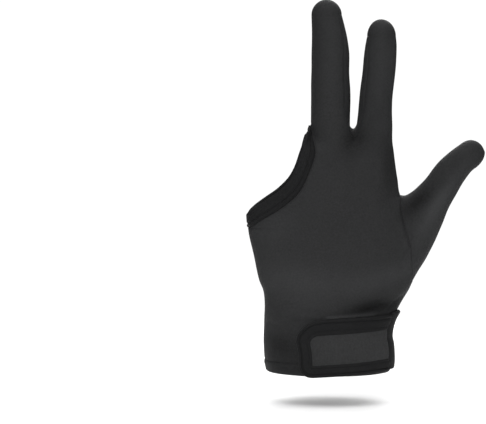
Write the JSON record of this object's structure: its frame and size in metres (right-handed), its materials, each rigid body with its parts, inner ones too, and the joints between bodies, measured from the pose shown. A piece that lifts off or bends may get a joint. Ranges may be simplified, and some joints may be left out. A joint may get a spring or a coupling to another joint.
{
  "type": "heat resistant styling glove",
  "caption": "Stretch-cloth hair styling glove with thumb, index and middle stalls, an open side for the other fingers, a hemmed wrist and a hook-and-loop strap.",
  "frame": {"origin": "middle of the wrist opening", "axes": "+Z from the wrist to the fingertips, -Y out of the back of the hand, +X towards the thumb"},
  "size_m": [0.1456, 0.0481, 0.2264],
  "materials": {
    "black_knit": "fine stretch knit with a soft satin sheen",
    "binding_tape": "matte folded binding",
    "loop_felt": "brushed felt-like loop face"
  },
  "bodies": {
    "root": {"glove_body": "black_knit", "thumb": "black_knit", "finger_fourchette": "black_knit", "finger_opening_binding": "binding_tape", "wrist_hem": "black_knit", "wrist_strap": "loop_felt", "strap_binding": "binding_tape", "strap_root_band": "binding_tape"}
  },
  "joints": []
}
